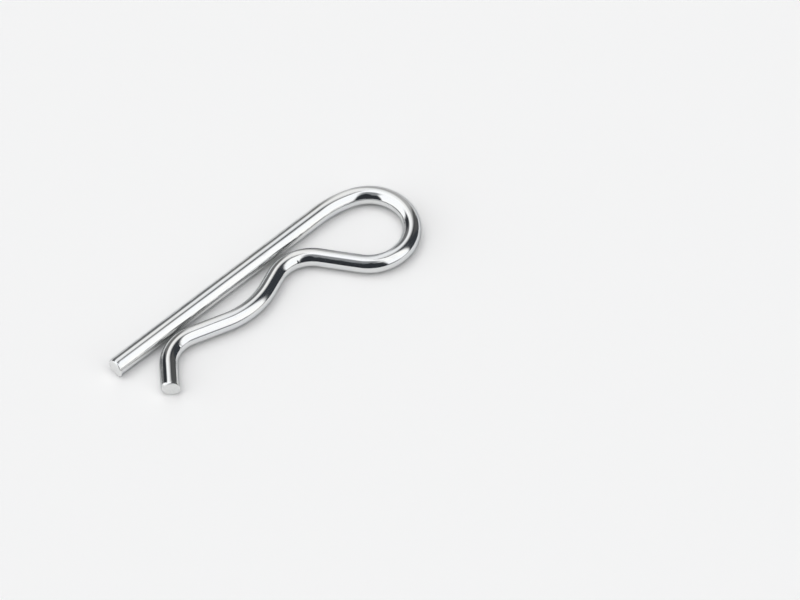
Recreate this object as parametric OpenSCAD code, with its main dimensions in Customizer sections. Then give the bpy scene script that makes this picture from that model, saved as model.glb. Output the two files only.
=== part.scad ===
// Spring cotter pin, also called an R-clip: one length of round spring wire, bent in one plane.
// Its straight leg goes through a cross hole in a shaft, and its waved leg snaps round that shaft.
//
// The origin is where the shaft's axis crosses the straight leg's axis. +X runs along the
// straight leg and out of its tip, +Y points to the waved leg, and +Z is the shaft's axis.

/* [Wire] */
// Diameter of the round wire
wire_d = 5; // [4:0.1:6]
// Radius of the edge round each cut end
end_edge_r = 0.35; // [0.2:0.05:0.8]

/* [Straight leg] */
// Distance from the shaft's axis to the straight leg's tip
tip_reach = 38.2; // [32:0.1:60]

/* [Loop] */
// Inside radius of the long bend that leads from the straight leg into the loop
lead_in_r = 25.5; // [18:0.5:40]
// Angle that the long bend turns through
lead_turn = 22; // [12:1:32]
// Inside radius of the loop
loop_in_r = 9; // [7:0.25:12]
// Angle at which the waved leg comes back to the straight leg
return_angle = 54; // [45:1:60]

/* [Inner waist] */
// Gap between the legs at the waist beside the loop
inner_gap = 1.2; // [0.6:0.1:2]
// Inside radius of the wire's bend at that waist
inner_waist_r = 8; // [5:0.25:10]

/* [Shaft seat] */
// Distance from the shaft's axis to the inside of the seat, a little under a 16 mm shaft's radius
seat_depth = 7.85; // [7:0.05:12]
// Inside radius of the seat's bend
seat_in_r = 19.5; // [12:0.5:24]
// Slope of the waved leg from the inner waist out to the seat
seat_in_slope = 22; // [14:1:26]
// Slope of the waved leg from the seat back to the outer waist
seat_out_slope = 18; // [12:1:24]

/* [Outer waist and flare] */
// Gap between the legs at the waist beside the open end
outer_gap = 0.6; // [0.55:0.05:1.5]
// Inside radius of the wire's bend at that waist
outer_waist_r = 7.5; // [5:0.25:10]
// Slope of the flared end
flare_slope = 51; // [35:1:65]
// Straight length of the flared end
flare_l = 7.5; // [4:0.5:14]

/* [Hidden] */
$fn = 48;

wire_r = wire_d / 2;

// A bend draws the wire thinner by a few hundredths, and a tighter bend by more
bend_thinning = 0.01;
function bent_d(r) = wire_d * (1 - bend_thinning * wire_d / r);

// How far each stretch and bend runs into the next, to join it
lap = 0.05;

// Centreline radii of the five bends
lead_r = lead_in_r + wire_r;
loop_r = loop_in_r + wire_r;
inner_r = inner_waist_r + wire_r;
seat_r = seat_in_r + wire_r;
outer_r = outer_waist_r + wire_r;

// Heights of the waved leg's centreline over the straight leg's, at its two waists and its seat
inner_waist_y = wire_d + inner_gap;
seat_y = seat_depth + wire_r;
outer_waist_y = wire_d + outer_gap;

// How far a bend moves sideways while it turns to or from a slope
function rise(r, slope) = r * (1 - cos(slope));

// How far a bend moves along the leg in that turn
function run(r, slope) = r * sin(slope);

// Length of the straight stretch that climbs a height at a slope
function stretch(height, slope) = height / sin(slope);

// Turn of the loop after the long bend, and the height at which the wire leaves it
loop_turn = 180 + return_angle - lead_turn;
loop_end_y = rise(lead_r, lead_turn) + loop_r * (cos(lead_turn) + cos(return_angle));

// The three straight stretches that tie the bends together
return_l = stretch(loop_end_y - inner_waist_y - rise(inner_r, return_angle), return_angle);
seat_in_l = stretch(
    seat_y - inner_waist_y - rise(inner_r, seat_in_slope) - rise(seat_r, seat_in_slope),
    seat_in_slope
);
seat_out_l = stretch(
    seat_y - outer_waist_y - rise(outer_r, seat_out_slope) - rise(seat_r, seat_out_slope),
    seat_out_slope
);

// Distance from the shaft's axis back to where the straight leg starts to bend
setback =
    run(seat_r + inner_r, seat_in_slope) + seat_in_l * cos(seat_in_slope)
    + run(inner_r + loop_r, return_angle) + return_l * cos(return_angle)
    - run(lead_r - loop_r, lead_turn);

// The bent wire after its straight leg, up to its flared end. A straight stretch is [length, 0],
// and a bend is [centreline radius, turn], with a left turn positive.
path = [
    [lead_r, -lead_turn],
    [loop_r, -loop_turn],
    [return_l, 0],
    [inner_r, return_angle + seat_in_slope],
    [seat_in_l, 0],
    [seat_r, -(seat_in_slope + seat_out_slope)],
    [seat_out_l, 0],
    [outer_r, seat_out_slope + flare_slope],
];

// Pose [x, y, heading] at which a stretch or bend ends when it starts at pose p
function after(p, seg) =
    seg[1] == 0
        ? [p[0] + seg[0] * cos(p[2]), p[1] + seg[0] * sin(p[2]), p[2]]
        : let (side = sign(seg[1]), end = p[2] + seg[1])
          [
              p[0] + side * seg[0] * (sin(end) - sin(p[2])),
              p[1] - side * seg[0] * (cos(end) - cos(p[2])),
              end,
          ];

// Pose at the start of piece i of the path
function pose(i) = i == 0 ? [-setback, 0, 180] : after(pose(i - 1), path[i - 1]);

// Puts its children at a pose
module at(p) {
    translate([p[0], p[1], 0])
        rotate([0, 0, p[2]])
            children();
}

// A straight stretch of wire along +X
module stretch_of_wire(l) {
    translate([-lap, 0, 0])
        rotate([0, 90, 0])
            cylinder(d = wire_d, h = l + 2 * lap);
}

// A bend in the wire, from the origin along +X
module bend_of_wire(r, turn) {
    side = sign(turn);
    over = lap / r * 180 / PI;
    translate([0, side * r, 0])
        rotate([0, 0, (side > 0 ? -90 : 90 + turn) - over])
            rotate_extrude(angle = abs(turn) + 2 * over)
                translate([r, 0])
                    circle(d = bent_d(r));
}

// A straight end of the wire along +X, cut square and with the rim of its face rounded over
module end_of_wire(l) {
    translate([-lap, 0, 0])
        rotate([0, 90, 0])
            rotate_extrude() {
                square([wire_r, l + lap - end_edge_r]);
                square([wire_r - end_edge_r, l + lap]);
                translate([wire_r - end_edge_r, l + lap - end_edge_r])
                    circle(r = end_edge_r);
            }
}

// The leg that goes through the shaft's cross hole
module straight_leg() {
    at([-setback, 0, 0])
        end_of_wire(setback + tip_reach);
}

// Loop, inner waist, shaft seat and outer waist
module waved_leg() {
    for (i = [0 : len(path) - 1])
        at(pose(i))
            if (path[i][1] == 0)
                stretch_of_wire(path[i][0]);
            else
                bend_of_wire(path[i][0], path[i][1]);
}

// The end that guides the clip on to the shaft
module flare() {
    at(pose(len(path)))
        end_of_wire(flare_l);
}

module cotter_pin() {
    color("gainsboro") {
        straight_leg();
        waved_leg();
        flare();
    }
}

cotter_pin();
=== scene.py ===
"""A spring cotter pin in bright zinc-plated wire, lying on a pale studio floor.

The CAD model's wire is replaced by a finer one of the same size. It has the drawn and plated
surface with the die's faint scratches, the press marks inside the two waists, and the rolled and
slightly pushed ends that shears leave.
"""
import math

import bpy
from mathutils import Matrix, Vector


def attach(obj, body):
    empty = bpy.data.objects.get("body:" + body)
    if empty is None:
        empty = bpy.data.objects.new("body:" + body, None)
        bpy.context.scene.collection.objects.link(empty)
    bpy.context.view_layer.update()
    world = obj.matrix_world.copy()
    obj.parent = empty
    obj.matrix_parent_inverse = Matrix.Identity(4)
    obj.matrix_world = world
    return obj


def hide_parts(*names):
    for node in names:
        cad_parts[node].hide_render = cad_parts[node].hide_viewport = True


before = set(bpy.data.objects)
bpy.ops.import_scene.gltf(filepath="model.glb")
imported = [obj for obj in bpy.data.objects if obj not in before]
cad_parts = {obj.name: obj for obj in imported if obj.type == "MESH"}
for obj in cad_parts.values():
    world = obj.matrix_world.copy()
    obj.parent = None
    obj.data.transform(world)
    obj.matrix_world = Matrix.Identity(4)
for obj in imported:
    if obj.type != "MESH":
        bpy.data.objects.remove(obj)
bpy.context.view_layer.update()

MM = 0.001

# The wire and its bends, in millimetres and degrees, as in the part's source.
# Each bend's radius is to the inside of the wire.
WIRE_D = 5.0
TIP_REACH = 38.2
LEAD_IN_R, LEAD_TURN = 25.5, 22.0
LOOP_IN_R, RETURN_ANGLE = 9.0, 54.0
INNER_GAP, INNER_WAIST_R = 1.2, 8.0
SEAT_DEPTH, SEAT_IN_R = 7.85, 19.5
SEAT_IN_SLOPE, SEAT_OUT_SLOPE = 22.0, 18.0
OUTER_GAP, OUTER_WAIST_R = 0.6, 7.5
FLARE_SLOPE, FLARE_L = 51.0, 7.5

WIRE_R = WIRE_D / 2

# Detail that is in the scene only, in millimetres and degrees. A place round the wire is an
# angle from its left side, seen on the way from the tip, and 90 is its top.
MARK_DEPTH, MARK_WIDTH = 0.05, 0.35     # a press mark across the inside of a waist
MARK_SPREAD = 65.0                      # how far it reaches round the wire, each way
SMEAR_LENGTH = 1.0                      # how much of each end the shears pushed over
TIP_SMEAR = 0.2                         # how far, towards the waved leg
FLARE_SMEAR = 0.2                       # how far, away from the straight leg
EDGE_R_RANGE = (0.12, 0.6)              # the ends' edges, from the sharpest to the most rolled
TIP_ROLL, FLARE_ROLL = 75.0, 165.0      # where round the wire each is rolled most
DIE_LINES = (57.0, 150.0, 290.0)        # where the drawing die left its faint scratches
DIE_LINE_HALF_WIDTH, DIE_LINE_DEPTH = 0.11, 0.012

# How finely the wire's mesh is drawn: steps round it, and steps along it in millimetres
SIDES = 64
STEP, MARK_STEP = 0.4, 0.08
RIM_STEPS, FACE_RINGS = 6, 5
CUT_RINGS = FACE_RINGS + RIM_STEPS // 2    # how many of these rings show the sheared metal

# The map for baking, as shares of its width and of a row: the wire in rows, and two round ends
MAP_ROWS = 4
MAP_LEFT, MAP_WIDTH = 0.01, 0.86
ROW_BOTTOM, ROW_HEIGHT = 0.02, 0.95
TIP_SPOT, FLARE_SPOT, SPOT_R = Vector((0.94, 0.1)), Vector((0.94, 0.3)), 0.04

# The materials. A grain is a noise over the wire: its scales along, to the left of and above the
# wire's middle, per metre, its detail and its roughness. A span is the part of it that is used.
# Heights are in millimetres.
COLOR_SPAN, ROUGHNESS_SPAN = (0.35, 0.65), (0.3, 0.7)

PLATE_COLORS = (0.72, 0.735, 0.75), (0.75, 0.752, 0.742)
PLATE_GRAZING = (0.45, 0.46, 0.47)
PLATE_ROUGHNESS = (0.06, 0.13)
TINT_GRAIN = (45, 500, 500), 2, 0.5
DRAWN_GRAIN, DRAWN_HEIGHT = ((45, 4200, 4200), 3, 0.6), 0.0025
WAVE_GRAIN, WAVE_HEIGHT = ((90, 700, 700), 1, 0.5), 0.02
DULL_GRAIN, DULL_SPAN = ((160, 700, 700), 3, 0.6), (0.58, 0.75)
DULL_COLOR, DULL_ROUGHNESS = (0.69, 0.7, 0.705), 0.06    # its roughness adds to the plate's
DIE_LINE_GRAIN, DIE_LINE_SPAN = ((110, 0, 0), 3, 0.6), (0.47, 0.56)    # where they are unbroken

SHEARED_COLORS = (0.75, 0.76, 0.76), (0.84, 0.84, 0.83)
SHEARED_ROUGHNESS = (0.38, 0.55)
SHEARED_GRAIN, SHEARED_HEIGHT = ((0, 3000, 1200), 4, 0.65), 0.02

# The camera: degrees round the object and above the floor, and its aim on the floor
CAMERA_AZIMUTH = 47.49
CAMERA_ELEVATION = 53.65
CAMERA_ROLL = 0.94
CAMERA_DISTANCE = 1.580
CAMERA_AIM = Vector((-30.94, 35.37, 0.0)) * MM
CAMERA_LENS = 270.0

# The floor, in metres. Past its edge it goes on as a light below the horizon, whose edge fades
# over these degrees.
FLOOR_Z = -WIRE_R * MM
FLOOR_SIZE = 8.0
FLOOR_COLOR = (0.93, 0.93, 0.93)
FAR_FLOOR_LIGHT = (0.87, 0.87, 0.87)
HORIZON_FADE = 0.1

# A soft lamp over the floor, in metres and watts
LAMP_SIZE, LAMP_HEIGHT, LAMP_POWER = 5.0, 4.0, 54.0

# The studio, as directions from the object: a white tent, with these screens in front of it.
# Each has its corners (azimuth from +X and elevation, in degrees), how many degrees each edge
# fades over, and its light. A later one hides those before it.
TENT_LIGHT = (1.32, 1.32, 1.32)
SCREENS = {
    "camera side": {
        "corners": [(84, -30), (8, -30), (20, 61), (80, 55)],
        "fades": [9, 5, 5, 5],
        "light": (0.034, 0.038, 0.044),
    },
    "over the camera": {
        "corners": [(76, 26), (16, 54), (-26, 76), (166, 86)],
        "fades": [10, 9, 7, 9],
        "light": (0.31, 0.32, 0.33),
    },
    "high card": {
        "corners": [(36, 20), (37, 58), (56, 71), (72, 62), (80, 42), (81, 20)],
        "fades": [5, 5, 5, 5, 5, 5],
        "light": (0.034, 0.038, 0.044),
    },
    "grey wall": {
        "corners": [(181, -30), (248, -30), (216, 66), (206, 58)],
        "fades": [10, 10, 10, 6],
        "light": (0.52, 0.52, 0.52),
    },
    "light strip": {
        "corners": [(250, -30), (245, -30), (253, 67), (218, 48)],
        "fades": [4, 10, 8, 10],
        "light": (1.1, 1.1, 1.1),
    },
    "dark curtain": {
        "corners": [(122, -10), (141, 51), (143, 54), (213, 71), (210, 52), (184, -10)],
        "fades": [9, 10, 10, 10, 8, 5],
        "light": (0.045, 0.05, 0.058),
    },
    "lit part of the curtain": {
        "corners": [(167, 6), (196, 6), (202, 44), (174, 50)],
        "fades": [10, 8, 10, 8],
        "light": (0.105, 0.105, 0.105),
    },
    "dark bar": {
        "corners": [(188, 70), (223, 68), (223, 72), (188, 75)],
        "fades": [2, 3, 2, 3],
        "light": (0.06, 0.06, 0.06),
    },
    "dark corner": {
        "corners": [(240, -30), (298, -30), (288, 48), (242, 35)],
        "fades": [8, 10, 10, 10],
        "light": (0.2, 0.2, 0.2),
    },
    "black card": {
        "corners": [(268, 11), (292, 11), (288, 44), (268, 42)],
        "fades": [12, 8, 8, 8],
        "light": (0.035, 0.038, 0.043),
    },
    "gap under the tent": {
        "corners": [(85, -30), (128, -30), (128, 6), (83, 6)],
        "fades": [12, 4, 4, 3],
        "light": (0.3, 0.3, 0.3),
    },
    "deeper gap": {
        "corners": [(80, -30), (106, -30), (106, 9), (80, 12)],
        "fades": [12, 8, 10, 4],
        "light": (0.15, 0.155, 0.16),
    },
}


# ---------------------------------------------------------------- the wire's path

def rise(radius, slope):
    """How far a bend moves sideways while it turns to or from a slope."""
    return radius * (1 - math.cos(math.radians(slope)))


def run(radius, slope):
    """How far a bend moves along the leg in that turn."""
    return radius * math.sin(math.radians(slope))


def stretch(height, slope):
    """Length of the straight stretch that climbs a height at a slope."""
    return height / math.sin(math.radians(slope))


def wire_path():
    """The straight stretches (length, 0) and bends (centreline radius, turn), from the tip on."""
    lead, loop = LEAD_IN_R + WIRE_R, LOOP_IN_R + WIRE_R
    inner, seat, outer = INNER_WAIST_R + WIRE_R, SEAT_IN_R + WIRE_R, OUTER_WAIST_R + WIRE_R
    inner_y, seat_y, outer_y = WIRE_D + INNER_GAP, SEAT_DEPTH + WIRE_R, WIRE_D + OUTER_GAP
    loop_end_y = rise(lead, LEAD_TURN) + run(loop, 90 - LEAD_TURN) + run(loop, 90 - RETURN_ANGLE)
    back = stretch(loop_end_y - inner_y - rise(inner, RETURN_ANGLE), RETURN_ANGLE)
    seat_in = stretch(seat_y - inner_y - rise(inner + seat, SEAT_IN_SLOPE), SEAT_IN_SLOPE)
    seat_out = stretch(seat_y - outer_y - rise(outer + seat, SEAT_OUT_SLOPE), SEAT_OUT_SLOPE)
    setback = (
        run(seat + inner, SEAT_IN_SLOPE) + run(seat_in, 90 - SEAT_IN_SLOPE)
        + run(inner + loop, RETURN_ANGLE) + run(back, 90 - RETURN_ANGLE)
        - run(lead - loop, LEAD_TURN)
    )
    return [
        (TIP_REACH + setback, 0),
        (lead, -LEAD_TURN),
        (loop, -(180 + RETURN_ANGLE - LEAD_TURN)),
        (back, 0),
        (inner, RETURN_ANGLE + SEAT_IN_SLOPE),
        (seat_in, 0),
        (seat, -(SEAT_IN_SLOPE + SEAT_OUT_SLOPE)),
        (seat_out, 0),
        (outer, SEAT_OUT_SLOPE + FLARE_SLOPE),
        (FLARE_L, 0),
    ]


INNER_WAIST, OUTER_WAIST = 4, 8    # places in that list


def piece_length(size, turn):
    """Length of a stretch, or of a bend along its middle."""
    return size * math.radians(abs(turn)) if turn else size


def moved(x, y, heading, size, turn, share):
    """The place and heading after a share of a stretch or bend."""
    a = math.radians(heading)
    if not turn:
        return x + size * share * math.cos(a), y + size * share * math.sin(a), heading
    b = math.radians(heading + turn * share)
    side = math.copysign(size, turn)
    return (
        x + side * (math.sin(b) - math.sin(a)),
        y - side * (math.cos(b) - math.cos(a)),
        heading + turn * share,
    )


def pose_at(s):
    """The wire's middle at a distance from the tip: x, y and heading."""
    pose = (TIP_REACH, 0.0, 180.0)
    for size, turn in wire_path():
        length = piece_length(size, turn)
        if s <= length:
            return moved(*pose, size, turn, s / length)
        pose = moved(*pose, size, turn, 1.0)
        s -= length
    return moved(*pose, s, 0, 1.0)


def total_length():
    """Length of the wire along its middle."""
    return sum(piece_length(*p) for p in wire_path())


def middle_of(index):
    """Distance from the tip to the middle of a bend."""
    lengths = [piece_length(*p) for p in wire_path()]
    return sum(lengths[:index]) + lengths[index] / 2


# ---------------------------------------------------------------- the wire's mesh

MARKS = (middle_of(INNER_WAIST), middle_of(OUTER_WAIST))


def body_stations():
    """Distances along the wire between its edges, closer together at the press marks."""
    first, last = EDGE_R_RANGE[1], total_length() - EDGE_R_RANGE[1]
    out, s = [], first
    while s < last - STEP / 2:
        out.append(s)
        near = any(abs(s - mark) < 3 * MARK_WIDTH for mark in MARKS)
        s += MARK_STEP if near else STEP
    return out + [last]


def smooth(t):
    """Eases from 0 to 1."""
    t = min(1.0, max(0.0, t))
    return t * t * (3 - 2 * t)


def mark_depth(s, angle):
    """Depth of a press mark at a distance along the wire and an angle round it from its left side.

    Both waists turn left, so their inside is at angle 0."""
    off = math.degrees(abs(math.remainder(angle, 2 * math.pi)))
    across = smooth(2 * (1 - off / MARK_SPREAD))
    return MARK_DEPTH * across * sum(math.exp(-((s - m) / MARK_WIDTH) ** 2) for m in MARKS)


def smear(s):
    """How far the wire's middle is pushed to its left near the two sheared ends."""
    from_tip, from_flare = s / SMEAR_LENGTH, (total_length() - s) / SMEAR_LENGTH
    return -TIP_SMEAR * smooth(1 - from_tip) + FLARE_SMEAR * smooth(1 - from_flare)


def edge_radius(angle, roll):
    """Radius of an end's edge at an angle round the wire, largest where the shears rolled it."""
    sharpest, rolled = EDGE_R_RANGE
    return sharpest + (rolled - sharpest) * ((1 + math.cos(angle - math.radians(roll))) / 2) ** 2


def ring_point(s, angle, radius):
    """A point round the wire, in metres: at angle 0 it is on the wire's left."""
    x, y, heading = pose_at(s)
    a = math.radians(heading)
    left = Vector((-math.sin(a), math.cos(a), 0.0))
    middle = Vector((x, y, 0.0)) + smear(s) * left
    return (middle + radius * (math.cos(angle) * left + Vector((0, 0, math.sin(angle))))) * MM


def end_rings(at_tip):
    """One end's rings, from the middle of its cut to where the body starts. Each point is its
    distance along the wire, its angle round it and its radius."""
    length, roll = total_length(), (TIP_ROLL if at_tip else FLARE_ROLL)
    rings = []
    for i in range(1, FACE_RINGS + RIM_STEPS):
        ring = []
        for k in range(SIDES):
            angle = 2 * math.pi * k / SIDES
            edge = edge_radius(angle, roll)
            turn = math.pi / 2 * max(0, i - FACE_RINGS) / RIM_STEPS
            flat = min(1.0, i / FACE_RINGS) * (WIRE_R - edge)
            depth = edge * (1 - math.cos(turn))
            ring.append((depth if at_tip else length - depth, angle, flat + edge * math.sin(turn)))
        rings.append(ring)
    return rings


def body_ring(s):
    """A ring of points of the wire between its ends."""
    angles = [2 * math.pi * k / SIDES for k in range(SIDES)]
    return [(s, a, WIRE_R - mark_depth(s, a)) for a in angles]


def wire_faces(ring_count):
    """Faces between the rings and, at the two ends, to the points in the cuts' middles."""
    tip = ring_count * SIDES
    last, flare = tip - SIDES, tip + 1
    faces = []
    for start in range(0, last, SIDES):
        for k in range(SIDES):
            this, following = start + k, start + (k + 1) % SIDES
            faces.append([this, this + SIDES, following + SIDES, following])
    for k in range(SIDES):
        following = (k + 1) % SIDES
        faces.append([tip, k, following])
        faces.append([flare, last + following, last + k])
    return faces


def wire_mesh():
    """The whole wire as one closed mesh. Material 1 is on the cut ends."""
    rings = end_rings(True) + [body_ring(s) for s in body_stations()] + end_rings(False)[::-1]
    points = [p for ring in rings for p in ring]
    points += [(0.0, 0.0, 0.0), (total_length(), 0.0, 0.0)]
    mesh = bpy.data.meshes.new("wire")
    mesh.from_pydata([ring_point(*p) for p in points], [], wire_faces(len(rings)))
    for face in mesh.polygons:
        face.use_smooth = True
        spans = [v // SIDES for v in face.vertices if v < len(rings) * SIDES]
        on_cut = max(spans) < CUT_RINGS or min(spans) >= len(rings) - CUT_RINGS
        face.material_index = 1 if on_cut else 0
    add_places(mesh, points)
    add_map(mesh, points)
    mesh.validate()
    return mesh


def add_places(mesh, points):
    """Stores where each point is along, to the left of and above the wire's middle, in metres."""
    place = mesh.attributes.new("along_wire", "FLOAT_VECTOR", "POINT")
    for item, (s, angle, radius) in zip(place.data, points):
        item.vector = Vector((s, radius * math.cos(angle), radius * math.sin(angle))) * MM


def add_map(mesh, points):
    """Maps the wire in rows, each a part of its length unrolled, and its cut ends as two rounds."""
    layer = mesh.uv_layers.new(name="OFBake")
    row_length = total_length() / MAP_ROWS
    for face in mesh.polygons:
        corners = [points[mesh.loops[i].vertex_index] for i in face.loop_indices]
        seam = max(c[1] for c in corners) - min(c[1] for c in corners) > math.pi
        row = min(MAP_ROWS - 1, int(sum(c[0] for c in corners) / len(corners) / row_length))
        for i, (s, angle, radius) in zip(face.loop_indices, corners):
            if face.material_index:
                spot = TIP_SPOT if row == 0 else FLARE_SPOT
                out = Vector((math.cos(angle), math.sin(angle)))
                layer.uv[i].vector = spot + SPOT_R * radius / WIRE_R * out
            else:
                turn = angle / (2 * math.pi) + (1 if seam and angle < math.pi else 0)
                along, round_it = s / row_length - row, ROW_BOTTOM + ROW_HEIGHT * turn
                layer.uv[i].vector = (MAP_LEFT + MAP_WIDTH * along, (row + round_it) / MAP_ROWS)


# ---------------------------------------------------------------- materials

def new_material(name):
    """An empty node material, its node tree and its Principled shader."""
    material = bpy.data.materials.new(name)
    material.use_nodes = True
    tree = material.node_tree
    return material, tree, tree.nodes["Principled BSDF"]


def wire_place(tree, scale):
    """The place along, to the left of and above the wire's middle, times a scale for each."""
    place = tree.nodes.new("ShaderNodeAttribute")
    place.attribute_name = "along_wire"
    scaled = tree.nodes.new("ShaderNodeVectorMath")
    scaled.operation = "MULTIPLY"
    scaled.inputs[1].default_value = scale
    tree.links.new(place.outputs["Vector"], scaled.inputs[0])
    return scaled.outputs["Vector"]


def noise(tree, scale, detail, roughness):
    """Noise over the wire."""
    node = tree.nodes.new("ShaderNodeTexNoise")
    node.inputs["Scale"].default_value = 1.0
    node.inputs["Detail"].default_value = detail
    node.inputs["Roughness"].default_value = roughness
    tree.links.new(wire_place(tree, scale), node.inputs["Vector"])
    return node.outputs["Fac"]


def spread(tree, value, span, out=(0, 1)):
    """A span of a value, spread from one end of another span to its other end."""
    node = tree.nodes.new("ShaderNodeMapRange")
    for name, number in zip(("From Min", "From Max", "To Min", "To Max"), (*span, *out)):
        node.inputs[name].default_value = number
    tree.links.new(value, node.inputs["Value"])
    return node.outputs["Result"]


def blend(tree, factor, first, second):
    """A colour between two, by a factor."""
    node = tree.nodes.new("ShaderNodeMix")
    node.data_type = "RGBA"
    sockets = [s for s in node.inputs if s.type == "RGBA"]
    for socket, color in zip(sockets, (first, second)):
        if isinstance(color, bpy.types.NodeSocket):
            tree.links.new(color, socket)
        else:
            socket.default_value = (*color, 1)
    tree.links.new(factor, node.inputs["Factor"])
    return [s for s in node.outputs if s.type == "RGBA"][0]


def bump(tree, height, distance, under=None):
    """Bumps of a height, on top of others."""
    node = tree.nodes.new("ShaderNodeBump")
    node.inputs["Strength"].default_value = 1.0
    node.inputs["Distance"].default_value = distance
    tree.links.new(height, node.inputs["Height"])
    if under:
        tree.links.new(under, node.inputs["Normal"])
    return node.outputs["Normal"]


def dot(tree, place, axis):
    """How far a place lies along an axis."""
    node = tree.nodes.new("ShaderNodeVectorMath")
    node.operation = "DOT_PRODUCT"
    node.inputs[1].default_value = axis
    tree.links.new(place, node.inputs[0])
    return node.outputs["Value"]


def math_of(tree, operation, *values):
    """A sum, product or other function of values."""
    node = tree.nodes.new("ShaderNodeMath")
    node.operation = operation
    for value, socket in zip(values, node.inputs):
        if isinstance(value, bpy.types.NodeSocket):
            tree.links.new(value, socket)
        else:
            socket.default_value = value
    return node.outputs["Value"]


def die_line(tree, angle):
    """A fine scratch along the wire, at an angle round it, broken in places."""
    a = math.radians(angle)
    place = wire_place(tree, (1 / MM, 1 / MM, 1 / MM))
    off = math_of(tree, "ABSOLUTE", dot(tree, place, (0, -math.sin(a), math.cos(a))))
    line = spread(tree, off, (0, DIE_LINE_HALF_WIDTH), (1, 0))
    this_side = spread(tree, dot(tree, place, (0, math.cos(a), math.sin(a))), (0, 1))
    broken = spread(tree, noise(tree, *DIE_LINE_GRAIN), DIE_LINE_SPAN)
    return math_of(tree, "MULTIPLY", math_of(tree, "MULTIPLY", line, this_side), broken)


def plated_wire():
    """Bright zinc plate on drawn wire: a cool mirror, with faint drawing lines along the wire,
    slow waves, a breath of blue and straw in the plate, small dull patches, and the die's
    scratches."""
    material, tree, shader = new_material("plated_wire")
    shader.inputs["Metallic"].default_value = 1.0
    shader.inputs["Specular Tint"].default_value = (*PLATE_GRAZING, 1)
    tint = spread(tree, noise(tree, *TINT_GRAIN), COLOR_SPAN)
    dull = spread(tree, noise(tree, *DULL_GRAIN), DULL_SPAN)
    color = blend(tree, dull, blend(tree, tint, *PLATE_COLORS), DULL_COLOR)
    tree.links.new(color, shader.inputs["Base Color"])
    drawn = noise(tree, *DRAWN_GRAIN)
    rough = spread(tree, drawn, ROUGHNESS_SPAN, PLATE_ROUGHNESS)
    rough = math_of(tree, "ADD", rough, math_of(tree, "MULTIPLY", dull, DULL_ROUGHNESS))
    tree.links.new(rough, shader.inputs["Roughness"])
    surface = bump(tree, noise(tree, *WAVE_GRAIN), WAVE_HEIGHT * MM)
    surface = bump(tree, drawn, DRAWN_HEIGHT * MM, surface)
    for angle in DIE_LINES:
        surface = bump(tree, die_line(tree, angle), -DIE_LINE_DEPTH * MM, surface)
    tree.links.new(surface, shader.inputs["Normal"])
    return material


def sheared_end():
    """A cut end, plated over: satin light grey, with the fine grain of the break."""
    material, tree, shader = new_material("sheared_end")
    shader.inputs["Metallic"].default_value = 1.0
    grain = noise(tree, *SHEARED_GRAIN)
    color = blend(tree, spread(tree, grain, COLOR_SPAN), *SHEARED_COLORS)
    tree.links.new(color, shader.inputs["Base Color"])
    rough = spread(tree, grain, ROUGHNESS_SPAN, SHEARED_ROUGHNESS)
    tree.links.new(rough, shader.inputs["Roughness"])
    tree.links.new(bump(tree, grain, SHEARED_HEIGHT * MM), shader.inputs["Normal"])
    return material


# ---------------------------------------------------------------- the studio

def direction(azimuth, elevation):
    """A unit vector towards an azimuth and an elevation in degrees."""
    a, e = math.radians(azimuth), math.radians(elevation)
    return Vector((math.cos(e) * math.cos(a), math.cos(e) * math.sin(a), math.sin(e)))


def side_of_edge(tree, where, normal, fade):
    """1 on the side of an edge that its normal points to, and 0 on the other."""
    half = math.sin(math.radians(fade)) / 2
    edge = spread(tree, dot(tree, where, normal), (-half, half))
    edge.node.interpolation_type = "SMOOTHSTEP"
    return edge


def screen_mask(tree, where, corners, fades):
    """1 on a screen and 0 round it."""
    corners = [direction(*c) for c in corners]
    middle = sum(corners, Vector((0, 0, 0)))
    mask = None
    for i, fade in enumerate(fades):
        normal = corners[i].cross(corners[(i + 1) % len(corners)]).normalized()
        if normal.dot(middle) < 0:
            normal = -normal
        edge = side_of_edge(tree, where, normal, fade)
        mask = math_of(tree, "MULTIPLY", mask, edge) if mask else edge
    return mask


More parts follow.
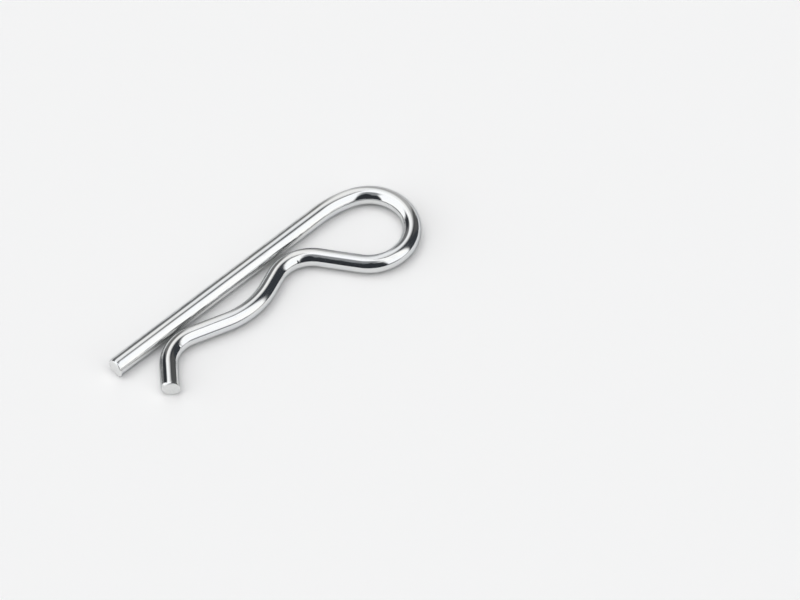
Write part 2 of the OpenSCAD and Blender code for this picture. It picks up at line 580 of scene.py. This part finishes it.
def studio_world():
    """The white tent and its screens, as the world's light, with the floor going on below them."""
    world = bpy.data.worlds.new("studio")
    bpy.context.scene.world = world
    world.use_nodes = True
    tree = world.node_tree
    where = tree.nodes.new("ShaderNodeTexCoord").outputs["Generated"]
    light = TENT_LIGHT
    for screen in SCREENS.values():
        mask = screen_mask(tree, where, screen["corners"], screen["fades"])
        light = blend(tree, mask, light, screen["light"])
    below = side_of_edge(tree, where, (0, 0, -1), HORIZON_FADE)
    light = blend(tree, below, light, FAR_FLOOR_LIGHT)
    tree.links.new(light, tree.nodes["Background"].inputs["Color"])


def floor():
    """The pale floor that the pin lies on."""
    bpy.ops.mesh.primitive_plane_add(size=FLOOR_SIZE, location=(0, 0, FLOOR_Z))
    plane = bpy.context.object
    plane.name = "floor"
    material, _, shader = new_material("floor")
    shader.inputs["Base Color"].default_value = (*FLOOR_COLOR, 1)
    shader.inputs["Roughness"].default_value = 1.0
    shader.inputs["Specular IOR Level"].default_value = 0.0
    plane.data.materials.append(material)


def lamp():
    """A soft light on the floor from straight above. The metal shows the tent and not the lamp."""
    data = bpy.data.lights.new("lamp", "AREA")
    data.size = LAMP_SIZE
    data.energy = LAMP_POWER
    obj = bpy.data.objects.new("lamp", data)
    obj.location = (0, 0, FLOOR_Z + LAMP_HEIGHT)
    obj.visible_glossy = False
    bpy.context.scene.collection.objects.link(obj)


def camera():
    """A long lens that looks down on the pin."""
    data = bpy.data.cameras.new("camera")
    data.lens = CAMERA_LENS
    obj = bpy.data.objects.new("camera", data)
    bpy.context.scene.collection.objects.link(obj)
    back = direction(CAMERA_AZIMUTH, CAMERA_ELEVATION)
    aim = (-back).to_track_quat("-Z", "Y").to_matrix().to_4x4()
    roll = Matrix.Rotation(math.radians(-CAMERA_ROLL), 4, "Z")
    obj.matrix_world = Matrix.Translation(CAMERA_AIM + back * CAMERA_DISTANCE) @ aim @ roll
    bpy.context.scene.camera = obj


def pin():
    """The wire, in place of the CAD model's."""
    wire = bpy.data.objects.new("wire", wire_mesh())
    bpy.context.scene.collection.objects.link(wire)
    wire.data.materials.append(plated_wire())
    wire.data.materials.append(sheared_end())
    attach(wire, "root")
    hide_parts("cotter_pin")


pin()
floor()
studio_world()
lamp()
camera()
bpy.context.scene.view_settings.view_transform = "Standard"
